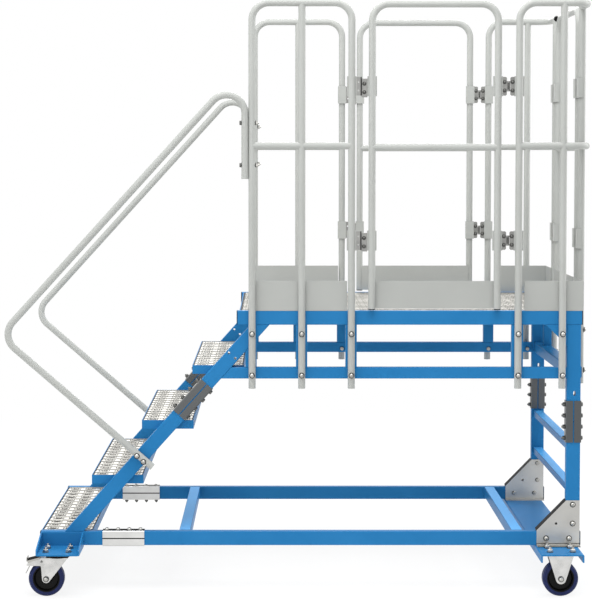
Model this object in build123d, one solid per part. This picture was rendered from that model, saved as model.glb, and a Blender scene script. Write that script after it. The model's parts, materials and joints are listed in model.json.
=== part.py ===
from build123d import *
import math
import os

# Mobile platform stairs: four treads, a guarded platform one metre up, two fixed and two swivel castors.
# Millimetres. +X runs from the stair foot to the rear, +Y across, +Z up. The origin is on the floor,
# under the middle of the whole. "Near" is the -Y side and "far" its mirror image.

# Overall and main frame
FRAME_Y = 429.0                    # outer face of both side frames
FRAME_W = 30.0                     # width of every side frame tube
FRAME_IN = FRAME_Y - FRAME_W       # inner face
PLATE = 3.0                        # pressed and folded plate
CORNER_R = 3.0                     # outer corners of the square and rectangular tubes
SPLICE_R = 4.0                     # outer bends of the splice channels
CAP_T = 3.0                        # plastic end caps, as far as they stand out

# Base
CASTOR_H = 155.0                   # castor, floor to the face it is bolted to
BRACKET_T = 5.0                    # castor bracket and channel plate
BASE_Z = CASTOR_H + BRACKET_T      # underside of the base rails
RAIL_H = 50.0
BASE_TOP = BASE_Z + RAIL_H
BASE_FRONT, BASE_BREAK, BASE_REAR = -917.0, -622.0, 1007.0
SPLICE_L = 149.0
SPLICE_GAP = 4.0                   # line of paint left open between two splice channels
JOINT_GAP = 2.0                    # between the two tubes that a splice holds together
CROSS_TUBE = 40.0
CROSS_XS = (-404.0, 787.0)
BRACKET_L = 153.0                  # front castor bracket along the rail
BRACKET_WEB = 37.0                 # web of that bracket, up the rail's side
BRACKET_LIP = 12.0                 # height of its cheeks at the outer edge
BRACKET_R = 10.0                   # rounded outer corners
OUTREACH = 150.0                   # castor brackets and channel beyond the side frame
CHANNEL_X0, CHANNEL_X1 = 848.0, 998.0
CHANNEL_LIP = 28.0

# Stair
STEP_TOPS = (210.0, 407.5, 605.0, 802.5)
STEP_FRONTS = (-917.0, -737.0, -557.0, -376.0)
STEP_DEPTH, STEP_H = 185.0, 31.0
STEP_SHEET, STEP_LIP = 2.5, 15.0
STEP_GAP = 4.0                     # open line round the plank in its tray
STRINGER_D = 50.0
STRINGER_RISE = 587.0 / 527.0      # slope of the stringer's upper edge
STRINGER_EDGE = (-177.0, 939.0)    # a point of that edge
STRINGER_BREAK_Z = 700.0           # upper edge height where lower and upper stringer meet
STRINGER_HOLES = ((-244.5, 849.5), (-222.0, 830.0))
HOLE_D = 9.0

# Walkway planks of the treads and the deck
PLANK_SHEET = 2.5
PLANK_PITCH = 57.0                 # both along and across
RIDGE_H, RIDGE_FOOT, RIDGE_CREST = 3.0, 17.0, 9.0
OPENING_L, OPENING_W = 46.0, 28.0
DECK_PLANKS, PLANK_GAP = 5, 2.0

# Platform
DECK_Z = 1000.0
TOP_RAIL_X0, TOP_RAIL_X1 = -217.0, 1010.0
LOWER_TOP, LOWER_H = 798.0, 40.0
POST_W = 40.0
FRONT_POST_X = -166.0
POST_XS = (14.0, 190.0, 781.0)
REAR_X = 1015.5                    # rear face of the platform
LEG_X0, LEG_X1 = 957.0, 1007.0
LEG_BREAK_Z = 604.0
CORNER_GUSSET = 74.0
DECK_X0, DECK_T = -198.0, 28.0
LIP_X, BEARER_W = -207.0, 40.0     # upright lip before the planks, and the member that carries them
REAR_TOP_W, REAR_LOW_W = 30.0, 50.0
RUNG_TOPS = (522.0, 372.0)
RUNG_W, RUNG_H, RUNG_SETBACK = 34.0, 24.0, 8.0
LEG_SLOT = (985.0, 705.0, 9.0, 17.0)   # x, z, width and height of the slot in each rear leg

# Base gussets at the rear legs
GUSSET_X0, GUSSET_X1 = 853.0, 1006.0
GUSSET_TOP, GUSSET_STEP = 322.0, 55.0
GUSSET_FOOT = 32.0
GUSSET_HOLE = (922.0, 239.0)       # spare plain hole in the outer plates

# Guard tubes
TUBE_D = 25.0
TUBE_R = TUBE_D / 2
TUBE_WALL = 2.0
OPEN_END = 18.0                    # depth to which the open rail ends are bored
FLAT = 0.5                         # the legs are pressed this flat where they meet the frame
GUARD_Y = FRAME_Y + TUBE_R - FLAT
REAR_AXIS_X = REAR_X + TUBE_R - FLAT
GUARD_TOP = 2087.5                 # axis of the top rails
GUARD_MID = 1585.0
GUARD_FOOT = 725.0
BEND = 60.0
FRONT_LEGS = (-162.0, 14.0, 190.0)
GATE_W = 444.0                     # axis to axis
GATE_X = 484.0                     # middle of the side gates
GATE_LEGS = (GATE_X - GATE_W / 2, GATE_X + GATE_W / 2)
CORNER_LEGS = (781.0, 938.0)
REAR_LEG_Y = 294.0
REAR_GATE_Y = GATE_W / 2
GATE_TOP, GATE_MID, GATE_FOOT = 2083.5, 1580.0, 1008.0
BOARD_TOP, BOARD_T = 1106.0, 2.0

# Handrails, in the plane of the guard tubes
HAND_X = FRONT_LEGS[0] - TUBE_D
HAND_FOOT_Z = 1468.0
HAND_BEND = 65.0
HAND_ANGLE, HAND_RETURN = 47.75, 41.0
HAND_LOW = (-1055.3, 911.5)
HAND_END = (-518.0, 442.0)

# Gate fittings
HINGE_ZS = (1250.0, 1795.0)
SLEEVE_W, SLEEVE_H = 33.0, 70.0
LEAF_H, LEAF_T, LEAF_R = 66.0, 3.0, 6.0
PIVOT_IN = 8.0                     # hinge axis, inwards from the guard tubes
KNUCKLE_D = 10.0
KNUCKLE_INNER, KNUCKLE_OUTER = 12.0, 18.0   # half heights of the moving and the whole knuckle
PIN_GAP = 0.3
LATCH_FIXED_W = 14.5
LATCH_W, LATCH_DROP = 22.0, 6.0    # striker plate on the gate, a little lower than the fixed one
STOP_W = 4.0
LATCH_HOLE_D, LATCH_HOLE_STEP = 6.0, 15.0

# Castors
WHEEL_D, WHEEL_W, TYRE_T = 125.0, 36.0, 14.5
WHEEL_R = WHEEL_D / 2
SHOULDER, RIM_T, WEB_T, BOSS_R = 5.0, 4.0, 14.0, 17.0
CASTOR_Y = 504.0
FRONT_PIVOT_X, FRONT_AXLE_X, REAR_AXLE_X = -846.0, -886.0, 925.0
HEAD_L, HEAD_W, HEAD_R = 105.0, 85.0, 8.0
FORK_T, FORK_GAP = 3.0, 44.0
FRONT_EYE, REAR_EYE = 14.0, 18.0   # radius of the fork plates round the axle
CROWN_Z = 134.0
CROWN_BACK, CROWN_FRONT = 60.0, 37.0   # front fork, from the pivot towards the axle and away from it
REAR_FORK_W = 94.0
WING_END, WING_Z0, WING_Z1 = 68.0, 109.5, 117.0   # brake wing, outwards from the axle
AXLE_D = 12.0
RACE_D, RACE_H, PIN_HEAD_D = 52.0, 11.0, 20.0
PEDAL_T, LEVER_Z = 2.5, 82.0
RUN_CLEAR = 0.05


def block(x0, x1, y0, y1, z0, z1):
    """A box from its lowest to its highest corner."""
    return Pos((x0 + x1) / 2, (y0 + y1) / 2, (z0 + z1) / 2) * Box(x1 - x0, y1 - y0, z1 - z0)


def far_of(solid):
    """The far side's copy of a near side solid."""
    return mirror(solid, Plane.XZ)


def both(*solids):
    """Near side solids and their mirror images on the far side."""
    return Compound(children=[*solids, *[far_of(solid) for solid in solids]])


def in_xz(points, y0, y1):
    """A plate drawn in the XZ plane, from y0 to y1."""
    face = make_face(Polyline(*[(x, y0, z) for x, z in points], close=True))
    return extrude(face, amount=y1 - y0, dir=(0, 1, 0))


def rod_y(x, z, y0, y1, radius):
    """A round rod or hole along Y."""
    return Pos(x, (y0 + y1) / 2, z) * Rot(90, 0, 0) * Cylinder(radius, y1 - y0)


def rod_x(y, z, x0, x1, radius):
    return Pos((x0 + x1) / 2, y, z) * Rot(0, 90, 0) * Cylinder(radius, x1 - x0)


def rod_z(x, y, z0, z1, radius):
    return Pos(x, y, (z0 + z1) / 2) * Cylinder(radius, z1 - z0)


def bent_tube(points, radius):
    """Round tube along a line through points, bent to the given radius at each corner."""
    path = FilletPolyline(*points, radius=radius) if len(points) > 2 else Line(*points)
    profile = Plane(origin=path @ 0, z_dir=path % 0) * Circle(TUBE_R)
    return sweep(profile, path=path)


def section(axis, *corners):
    """Rectangular tube along an axis, with rounded corners. Its ends are closed, so it is solid inside."""
    return fillet(block(*corners).edges().filter_by(axis), CORNER_R)


def stringer_x(z, below=0.0):
    """X of the stringer's upper edge at height z, or of a line that far below it, square to the slope."""
    shift = below * math.hypot(1, STRINGER_RISE) / STRINGER_RISE
    return STRINGER_EDGE[0] + (z - STRINGER_EDGE[1]) / STRINGER_RISE + shift


def stringer_z(x, below=0.0):
    """Height of that line at x."""
    return STRINGER_EDGE[1] + (x - stringer_x(STRINGER_EDGE[1], below)) * STRINGER_RISE


def base():
    near = (-FRAME_Y, -FRAME_IN)
    stub = section(Axis.X, BASE_FRONT, BASE_BREAK - JOINT_GAP / 2, *near, BASE_Z, BASE_TOP)
    rail = section(Axis.X, BASE_BREAK + JOINT_GAP / 2, BASE_REAR, *near, BASE_Z, BASE_TOP)
    lid = block(BASE_BREAK - SPLICE_L / 2, BASE_BREAK + SPLICE_L / 2, -FRAME_Y - PLATE, -FRAME_IN + PLATE,
                BASE_Z + (RAIL_H + SPLICE_GAP) / 2, BASE_TOP + PLATE)
    lid = fillet(lid.edges().filter_by(Axis.X).group_by(Axis.Z)[-1], SPLICE_R)
    middle = BASE_Z + RAIL_H / 2
    upper = lid - block(BASE_FRONT, 0, *near, BASE_Z, BASE_TOP)
    lower = mirror(upper, Plane.XY.offset(middle))
    cross = [section(Axis.Y, x - CROSS_TUBE / 2, x + CROSS_TUBE / 2, -FRAME_IN, FRAME_IN,
                     BASE_TOP - CROSS_TUBE, BASE_TOP) for x in CROSS_XS]
    channel = block(CHANNEL_X0, CHANNEL_X1, -FRAME_Y - OUTREACH, FRAME_Y + OUTREACH,
                    BASE_Z - CHANNEL_LIP, BASE_Z)
    channel = fillet(channel.edges().filter_by(Axis.Y).group_by(Axis.Z)[-1], BRACKET_T)
    channel -= block(CHANNEL_X0 + BRACKET_T, CHANNEL_X1 - BRACKET_T, -700, 700, 0, CASTOR_H)
    return {
        "base_rails": both(stub, rail),
        "base_splices": both(upper, lower),
        "base_cross_tubes": Compound(children=cross),
        "rear_castor_channel": channel,
        "front_castor_brackets": both(front_bracket()),
        "base_gussets": both(*base_gussets()),
        "end_caps": both(*end_caps()),
    }


def front_bracket():
    """Folded tray beside the base rail: web, plate and two triangular cheeks."""
    x0, x1 = BASE_FRONT, BASE_FRONT + BRACKET_L
    y_out = -FRAME_Y - OUTREACH
    top = BASE_Z + BRACKET_WEB
    tray = block(x0, x1, y_out, -FRAME_Y, CASTOR_H, BASE_Z)
    tray += block(x0, x1, -FRAME_Y - BRACKET_T, -FRAME_Y, CASTOR_H, top + BRACKET_R)
    outline = [(-FRAME_Y, CASTOR_H), (-FRAME_Y, top + BRACKET_R), (-FRAME_Y - BRACKET_R, top + BRACKET_R),
               (y_out, BASE_Z + BRACKET_LIP), (y_out, CASTOR_H)]
    for x in (x0, x1 - BRACKET_T):
        face = make_face(Polyline(*[(x, y, z) for y, z in outline], close=True))
        tray += extrude(face, amount=BRACKET_T, dir=(1, 0, 0))
    blank = block(x0, x1, y_out, -FRAME_Y, CASTOR_H, top + BRACKET_R)
    corners = blank.edges().filter_by(Axis.Z).group_by(Axis.Y)[0]
    return tray & fillet(corners, BRACKET_R)


def end_caps():
    """Plastic plugs in the open ends of the base rails and top rails."""
    near = (-FRAME_Y, -FRAME_IN)
    ends = [(BASE_FRONT - CAP_T, BASE_Z), (BASE_REAR, BASE_Z),
            (TOP_RAIL_X0, DECK_Z - RAIL_H), (TOP_RAIL_X1, DECK_Z - RAIL_H)]
    return [section(Axis.X, x, x + CAP_T, *near, z, z + RAIL_H) for x, z in ends]


def base_gussets():
    outline = [(GUSSET_X0, BASE_Z), (GUSSET_X1, BASE_Z), (GUSSET_X1, GUSSET_TOP), (LEG_X0, GUSSET_TOP),
               (GUSSET_X0, BASE_Z + GUSSET_STEP)]
    outer = in_xz(outline, -FRAME_Y - PLATE, -FRAME_Y)
    outer += block(GUSSET_X0, GUSSET_X1, -FRAME_Y - GUSSET_FOOT, -FRAME_Y, BASE_Z, BASE_Z + PLATE)
    outer -= rod_y(*GUSSET_HOLE, -500, -300, HOLE_D / 2)
    inner = mirror(outer, Plane.XZ.offset(FRAME_Y - FRAME_W / 2))
    return outer, inner


def stairs():
    parts = {}
    near = (-FRAME_Y, -FRAME_IN)
    z0, z1, zb = BASE_TOP, DECK_Z - RAIL_H, STRINGER_BREAK_Z
    run = STRINGER_D * math.hypot(1, STRINGER_RISE) / STRINGER_RISE
    top_x, low_x = stringer_x(z1), stringer_x(z0)
    # the joint between both halves is square to the slope
    drop = STRINGER_D / math.hypot(1, STRINGER_RISE)
    joint_top = (stringer_x(zb), zb)
    joint_low = (joint_top[0] + drop * STRINGER_RISE, zb - drop)
    whole = in_xz([(low_x, z0), (low_x + run, z0), (top_x + run, z1), (top_x, z1)], *near)
    slope = Vector(1, 0, STRINGER_RISE).normalized()
    whole = fillet([edge for edge in whole.edges() if abs((edge % 0).dot(slope)) > 0.999], CORNER_R)
    gap = in_xz([joint_top, joint_low, (joint_low[0] + JOINT_GAP, joint_low[1]),
                 (joint_top[0] + JOINT_GAP, joint_top[1])], *near)
    lower, upper = sorted((whole - gap).solids(), key=lambda solid: solid.center().Z)
    for x, z in STRINGER_HOLES:
        upper -= rod_y(x, z, -500, -300, HOLE_D / 2)
    parts["stringers"] = both(lower, upper)
    parts["stringer_splices"] = both(*stringer_splices(joint_top))
    steps = list(zip(STEP_FRONTS, STEP_TOPS))
    parts["tread_trays"] = Compound(children=[tread_tray(x, z) for x, z in steps])
    # the planks rest on the lips of their trays
    inset = STEP_SHEET + STEP_GAP
    one = plank(STEP_DEPTH - 2 * inset, 2 * (FRAME_IN - inset), STEP_H - STEP_SHEET)
    parts["tread_gratings"] = Compound(children=[Pos(x + STEP_DEPTH / 2, 0, z) * one for x, z in steps])
    return parts


def plank(width, length, height):
    """Pressed walkway plank along Y, top at z = 0: ridges across it and diamond openings between them."""
    rows = round(length / PLANK_PITCH)
    pitch = length / rows
    top = []
    for row in range(rows + 1):
        y = row * pitch - length / 2
        foot, crest = RIDGE_FOOT / 2, RIDGE_CREST / 2
        if row > 0:
            top += [(y - foot, -RIDGE_H), (y - crest, 0)]
        if row < rows:
            top += [(y + crest, 0), (y + foot, -RIDGE_H)]
    top = [(-length / 2, 0), *top, (length / 2, 0)]
    below = [(y, z - PLANK_SHEET) for y, z in reversed(top)]
    face = make_face(Polyline(*[(-width / 2, y, z) for y, z in top + below], close=True))
    sheet = extrude(face, amount=width, dir=(1, 0, 0))
    for side in (-1, 1):
        inner, outer = sorted((side * width / 2, side * (width / 2 - PLANK_SHEET)))
        sheet += block(inner, outer, -length / 2, length / 2, -height, -RIDGE_H)
    diamond = Polygon((-OPENING_L / 2, 0), (0, -OPENING_W / 2), (OPENING_L / 2, 0), (0, OPENING_W / 2),
                      align=None)
    columns = round(width / PLANK_PITCH)
    step = width / columns
    places = [((i + 0.5) * step - width / 2, (j + 0.5) * pitch - length / 2)
              for i in range(columns) for j in range(rows)]
    return sheet - [Pos(x, y, -RIDGE_H) * extrude(diamond, RIDGE_H, both=True) for x, y in places]


def stringer_splices(joint_top):
    """Two channels round each stringer joint, drawn level at the origin and then laid on the slope."""
    half = SPLICE_L / 2
    side = block(-half, half, -FRAME_Y - PLATE, -FRAME_IN + PLATE, -(STRINGER_D - SPLICE_GAP) / 2, PLATE)
    side = fillet(side.edges().filter_by(Axis.X).group_by(Axis.Z)[-1], SPLICE_R)
    side -= block(-half, half, -FRAME_Y, -FRAME_IN, -STRINGER_D, 0)
    other = mirror(side, Plane.XY.offset(-STRINGER_D / 2))
    angle = math.degrees(math.atan(STRINGER_RISE))
    return [Pos(joint_top[0], 0, joint_top[1]) * Rot(0, -angle, 0) * s for s in (side, other)]


def tread_tray(x, z):
    """Folded frame with a lip inside that carries the grating."""
    outer = block(x, x + STEP_DEPTH, -FRAME_IN, FRAME_IN, z - STEP_H, z)
    s, lip = STEP_SHEET, STEP_LIP
    outer -= block(x + s, x + STEP_DEPTH - s, -FRAME_IN + s, FRAME_IN - s, z - STEP_H + s, z)
    outer -= block(x + lip, x + STEP_DEPTH - lip, -FRAME_IN + lip, FRAME_IN - lip, z - STEP_H, z)
    return outer


def platform():
    near = (-FRAME_Y, -FRAME_IN)
    rail_z = DECK_Z - RAIL_H
    low_z = LOWER_TOP - LOWER_H
    top = section(Axis.X, TOP_RAIL_X0 + CAP_T, TOP_RAIL_X1, *near, rail_z, DECK_Z)
    lower = in_xz([(stringer_x(LOWER_TOP, STRINGER_D), LOWER_TOP), (stringer_x(low_z, STRINGER_D), low_z),
                   (LEG_X0, low_z), (LEG_X0, LOWER_TOP)], *near)
    lower = fillet(lower.edges().filter_by(Axis.X), CORNER_R)
    gusset = in_xz([(LEG_X0 - CORNER_GUSSET, rail_z), (LEG_X0, rail_z), (LEG_X0, rail_z - CORNER_GUSSET)],
                   -FRAME_Y, -FRAME_Y + PLATE)
    bearer = section(Axis.Y, LIP_X, LIP_X + BEARER_W, -FRAME_IN, FRAME_IN, rail_z, DECK_Z - DECK_T)
    bearer += block(LIP_X, LIP_X + PLATE, -FRAME_IN, FRAME_IN, rail_z + CORNER_R, DECK_Z)
    rear_top = section(Axis.Y, REAR_X - REAR_TOP_W, REAR_X, -FRAME_IN, FRAME_IN, rail_z, DECK_Z)
    rear_low = section(Axis.Y, REAR_X - REAR_LOW_W, REAR_X, -FRAME_IN, FRAME_IN, low_z, LOWER_TOP)
    return {
        "top_rails": both(top),
        "lower_rails": both(lower),
        "platform_posts": both(*posts(near, rail_z)),
        "platform_corner_gussets": both(gusset),
        "platform_cross_members": Compound(children=[bearer, rear_top, rear_low]),
        "platform_deck": deck(),
        **rear_legs(near, rail_z),
    }


def posts(near, rail_z):
    """Uprights between lower rail and top rail, and the one at the rear guard leg."""
    half = POST_W / 2
    solids = [section(Axis.Z, x - half, x + half, *near, LOWER_TOP, rail_z) for x in POST_XS]
    solids.append(section(Axis.Z, REAR_X - REAR_TOP_W, REAR_X, -REAR_LEG_Y - half, -REAR_LEG_Y + half,
                          LOWER_TOP, rail_z))
    # the front post ends under the stringer
    x0, x1 = FRONT_POST_X - half, FRONT_POST_X + half
    front = in_xz([(x0, LOWER_TOP), (x1, LOWER_TOP), (x1, stringer_z(x1, STRINGER_D)),
                   (x0, stringer_z(x0, STRINGER_D))], *near)
    solids.append(fillet(front.edges().filter_by(Axis.Z), CORNER_R))
    return solids


def deck():
    """Planks side by side across the platform, between the front lip and the rear cross member."""
    pitch = (REAR_X - REAR_TOP_W - DECK_X0) / DECK_PLANKS
    one = plank(pitch - PLANK_GAP, 2 * FRAME_IN, DECK_T)
    return Compound(children=[Pos(DECK_X0 + (i + 0.5) * pitch, 0, DECK_Z) * one for i in range(DECK_PLANKS)])


def rear_legs(near, rail_z):
    leg_low = section(Axis.Z, LEG_X0, LEG_X1, *near, BASE_TOP, LEG_BREAK_Z - JOINT_GAP / 2)
    leg_top = section(Axis.Z, LEG_X0, LEG_X1, *near, LEG_BREAK_Z + JOINT_GAP / 2, rail_z)
    x, z, width, height = LEG_SLOT
    slot = Plane.XZ * (Pos(x, z) * Rot(0, 0, 90) * SlotOverall(height, width))
    leg_top -= Pos(0, -FRAME_Y, 0) * extrude(slot, FRAME_W * 2, both=True)
    z0, z1 = LEG_BREAK_Z - SPLICE_L / 2, LEG_BREAK_Z + SPLICE_L / 2
    cover = block(LEG_X0 - PLATE, LEG_X0 + (RAIL_H - SPLICE_GAP) / 2, -FRAME_Y - PLATE, -FRAME_IN + PLATE,
                  z0, z1)
    cover = fillet(cover.edges().filter_by(Axis.Z).group_by(Axis.X)[0], SPLICE_R)
    cover -= block(LEG_X0, LEG_X1, *near, z0, z1)
    cover_rear = mirror(cover, Plane.YZ.offset((LEG_X0 + LEG_X1) / 2))
    return {
        "rear_legs": both(leg_low, leg_top),
        "leg_splices": both(cover, cover_rear),
        "ladder_rungs": Compound(children=[rung(z) for z in RUNG_TOPS]),
    }


def rung(z):
    """Angle across the legs, flat side up and its lip hanging at the front."""
    x0 = LEG_X0 + RUNG_SETBACK
    angle = block(x0, x0 + RUNG_W, -FRAME_IN, FRAME_IN, z - RUNG_H, z)
    bend = angle.edges().filter_by(Axis.Y).sort_by(lambda edge: edge.center().X - edge.center().Z)[0]
    return fillet(bend, PLATE) - block(x0 + PLATE, x0 + RUNG_W, -FRAME_IN, FRAME_IN, z - RUNG_H, z - PLATE)


def hoop(x0, x1, y, foot, top):
    """An upside-down U of tube in a plane of constant y."""
    return bent_tube([(x0, y, foot), (x0, y, top), (x1, y, top), (x1, y, foot)], BEND)


def press_flat(tube, x0, x1):
    """Press the legs flat where they lie on the side frame."""
    return tube - block(x0 - 30, x1 + 30, -FRAME_Y, -FRAME_Y + 5, GUARD_FOOT - 5, DECK_Z)


def front_guard():
    x0, xm, x1 = FRONT_LEGS
    tube = hoop(x0, x1, -GUARD_Y, GUARD_FOOT, GUARD_TOP)
    tube += rod_z(xm, -GUARD_Y, GUARD_FOOT, GUARD_TOP, TUBE_R)
    tube += rod_x(-GUARD_Y, GUARD_MID, x0, x1, TUBE_R)
    return press_flat(tube, x0, x1)


def corner_guard():
    x0, x1 = CORNER_LEGS
    end = -REAR_LEG_Y + TUBE_R
    tube = bent_tube([(x0, -GUARD_Y, GUARD_FOOT), (x0, -GUARD_Y, GUARD_TOP),
                      (REAR_AXIS_X, -GUARD_Y, GUARD_TOP), (REAR_AXIS_X, end, GUARD_TOP)], BEND)
    tube += bent_tube([(x0, -GUARD_Y, GUARD_MID), (REAR_AXIS_X, -GUARD_Y, GUARD_MID),
                       (REAR_AXIS_X, end, GUARD_MID)], BEND)
    tube += rod_z(x1, -GUARD_Y, GUARD_FOOT, GUARD_TOP, TUBE_R)
    tube = press_flat(tube, x0, x1)
    leg = rod_z(REAR_AXIS_X, -REAR_LEG_Y, GUARD_FOOT, GUARD_TOP, TUBE_R)
    leg -= block(REAR_X - 5, REAR_X, -REAR_LEG_Y - 20, -REAR_LEG_Y + 20, GUARD_FOOT - 5, DECK_Z)
    tube += leg
    for z in (GUARD_TOP, GUARD_MID):
        tube -= rod_y(REAR_AXIS_X, z, end - OPEN_END, end + 1, TUBE_R - TUBE_WALL)
    return tube


def toe_boards():
    inner = -FRAME_Y + FLAT
    front = block(FRONT_LEGS[0] + 5, FRONT_LEGS[2] - 15, inner, inner + BOARD_T, DECK_Z, BOARD_TOP)
    x_in = REAR_X - FLAT
    corner = block(CORNER_LEGS[0] + 24, x_in, inner, inner + BOARD_T, DECK_Z, BOARD_TOP)
    corner += block(x_in - BOARD_T, x_in, inner, -REAR_LEG_Y + 5, DECK_Z, BOARD_TOP)
    return front, corner


def handrail():
    """Bent tube from the first guard leg down beside the stair to the stringer."""
    slope = math.tan(math.radians(HAND_ANGLE))
    top = (HAND_X, HAND_LOW[1] + (HAND_X - HAND_LOW[0]) * slope)
    back = math.radians(HAND_RETURN)
    length = math.hypot(HAND_END[0] - HAND_LOW[0], HAND_END[1] - HAND_LOW[1])
    end = (HAND_LOW[0] + length * math.cos(back), HAND_LOW[1] - length * math.sin(back))
    points = [(HAND_X, HAND_FOOT_Z), top, HAND_LOW, end]
    tube = bent_tube([(x, -GUARD_Y, z) for x, z in points], HAND_BEND)
    return tube - block(-700, -400, -FRAME_Y, -FRAME_Y + 5, 400, 700)


def gate():
    """Tube and toe board of a gate, its middle on the Z axis and its inner side towards +Y."""
    half = GATE_W / 2
    tube = hoop(-half, half, 0, GATE_FOOT, GATE_TOP)
    tube += rod_x(0, GATE_MID, -half, half, TUBE_R)
    board = block(-half + 10, half - 4, TUBE_R, TUBE_R + BOARD_T, GATE_FOOT, BOARD_TOP)
    return tube, board


def sleeve(z):
    """Folded bracket round the inner half of a tube on the Z axis; inwards is +Y."""
    half = SLEEVE_W / 2
    body = block(-half, half, 0, half, z - SLEEVE_H / 2, z + SLEEVE_H / 2)
    return body - block(-TUBE_R, TUBE_R, 0, TUBE_R, z - SLEEVE_H, z + SLEEVE_H)


def leaf(x0, x1, y0, y1, z, height):
    """Plate of a hinge or latch, its corners at x1 rounded."""
    plate = block(*sorted((x0, x1)), y0, y1, z - height / 2, z + height / 2)
    corners = plate.edges().filter_by(Axis.Y).sort_by(lambda edge: abs(edge.center().X - x1))[:2]
    return fillet(corners, LEAF_R)


def hinge_half(gap, knuckles):
    """Sleeves and leaves of one side; the tube is on the Z axis, the hinge pin at x = gap, +Y inwards."""
    sleeves, leaves = [], []
    low_y, high_y = PIVOT_IN - LEAF_T / 2, PIVOT_IN + LEAF_T / 2
    for z in HINGE_ZS:
        sleeves.append(sleeve(z))
        half = leaf(SLEEVE_W / 2, gap - KNUCKLE_D / 2 - 1, low_y, high_y, z, LEAF_H)
        for low, high in knuckles:
            half += block(gap - KNUCKLE_D / 2 - 2, gap, low_y, high_y, z + low, z + high)
            half += rod_z(gap, PIVOT_IN, z + low, z + high, KNUCKLE_D / 2)
        leaves.append(half)
    return sleeves, leaves


def latch_fixed():
    """Sleeve, plate and rubber stop on the fixed leg; the tube is on the Z axis, the gate lies towards +X."""
    sleeves, plates, stops = [], [], []
    inner = SLEEVE_W / 2
    outer = inner + LATCH_FIXED_W
    for z in HINGE_ZS:
        sleeves.append(sleeve(z))
        plate = block(inner, outer, 0, LEAF_T, z - LEAF_H / 2, z + LEAF_H / 2)
        for step in (-LATCH_HOLE_STEP, LATCH_HOLE_STEP):
            plate -= rod_y((inner + outer) / 2, z + step, -1, LEAF_T + 1, LATCH_HOLE_D / 2)
        plates.append(plate)
        stops.append(block(outer, outer + STOP_W, -2, LEAF_T + 1, z - LEAF_H / 2, z + LEAF_H / 2))
    return sleeves, plates, stops


def latch_gate():
    """Sleeve and striker plate on the gate leg; the fixed leg lies towards -X."""
    sleeves, plates = [], []
    inner = -SLEEVE_W / 2
    y0 = TUBE_R - LEAF_T
    for z in HINGE_ZS:
        sleeves.append(sleeve(z))
        plates.append(leaf(inner, inner - LATCH_W, y0, y0 + LEAF_T, z - LATCH_DROP, LEAF_H))
    return sleeves, plates


MOVING_KNUCKLE = ((-KNUCKLE_INNER, KNUCKLE_INNER),)
FIXED_KNUCKLES = ((-KNUCKLE_OUTER, -KNUCKLE_INNER - PIN_GAP), (KNUCKLE_INNER + PIN_GAP, KNUCKLE_OUTER))


def place(parts, x, y, turn=0.0):
    return [Pos(x, y, 0) * Rot(0, 0, turn) * p for p in parts]


def gate_set(half_gap, hinge_at, post_at, gate_latch_at, post_latch_at, turn=0.0):
    """Fittings of one gate; each place is the (x, y) of the tube that carries them."""
    gate_sleeves, gate_leaves = hinge_half(half_gap, MOVING_KNUCKLE)
    post_sleeves, post_leaves = [[mirror(p, Plane.YZ) for p in parts] for parts in
                                 hinge_half(half_gap, FIXED_KNUCKLES)]
    striker_sleeves, strikers = latch_gate()
    latch_sleeves, latches, stops = latch_fixed()
    return {
        "gate_sleeves": place(gate_sleeves, *hinge_at, turn) + place(striker_sleeves, *gate_latch_at, turn),
        "gate_fittings": place(gate_leaves, *hinge_at, turn) + place(strikers, *gate_latch_at, turn),
        "sleeves": place(post_sleeves, *post_at, turn) + place(latch_sleeves, *post_latch_at, turn),
        "fittings": place(post_leaves, *post_at, turn) + place(latches, *post_latch_at, turn),
        "stops": place(stops, *post_latch_at, turn),
    }


def far_set(parts):
    """The same set of fittings with near and far changed over."""
    return {name: [far_of(p) for p in solids] for name, solids in parts.items()}


def fittings():
    """Hinges and latches of the three gates."""
    near = gate_set((CORNER_LEGS[0] - GATE_LEGS[1]) / 2, (GATE_LEGS[1], -GUARD_Y), (CORNER_LEGS[0], -GUARD_Y),
                    (GATE_LEGS[0], -GUARD_Y), (FRONT_LEGS[2], -GUARD_Y))
    far = far_set(near)
    # the same set turned a quarter, inwards being -X, has its hinge on the far side, so it is changed over
    turned_set = gate_set((REAR_LEG_Y - REAR_GATE_Y) / 2, (REAR_AXIS_X, REAR_GATE_Y),
                          (REAR_AXIS_X, REAR_LEG_Y), (REAR_AXIS_X, -REAR_GATE_Y),
                          (REAR_AXIS_X, -REAR_LEG_Y), 90)
    rear = far_set(turned_set)
    parts = {}
    for name, one in (("near", near), ("far", far), ("rear", rear)):
        parts[f"gate_{name}_sleeves"] = Compound(children=one["gate_sleeves"])
        parts[f"gate_{name}_fittings"] = Compound(children=one["gate_fittings"])
    for node, key in (("guard_sleeves", "sleeves"), ("guard_fittings", "fittings"), ("gate_stops", "stops")):
        parts[node] = Compound(children=near[key] + far[key] + rear[key])
    return parts


def guards():
    front, corner = front_guard(), corner_guard()
    front_board, corner_board = toe_boards()
    side = [Pos(GATE_X, -GUARD_Y, 0) * piece for piece in gate()]
    rear = [far_of(Pos(REAR_AXIS_X, 0, 0) * Rot(0, 0, 90) * piece) for piece in gate()]
    parts = {
        "guard_front_near": front, "guard_front_far": far_of(front),
        "guard_corner_near": corner, "guard_corner_far": far_of(corner),
        "toe_boards_front": both(front_board), "toe_boards_corner": both(corner_board),
        "gate_near_tube": side[0], "gate_far_tube": far_of(side[0]), "gate_rear_tube": rear[0],
        "gate_near_board": side[1], "gate_far_board": far_of(side[1]), "gate_rear_board": rear[1],
    }
    rail = handrail()
    parts["handrail_near"] = rail
    parts["handrail_far"] = far_of(rail)
    parts.update(fittings())
    return parts


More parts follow.
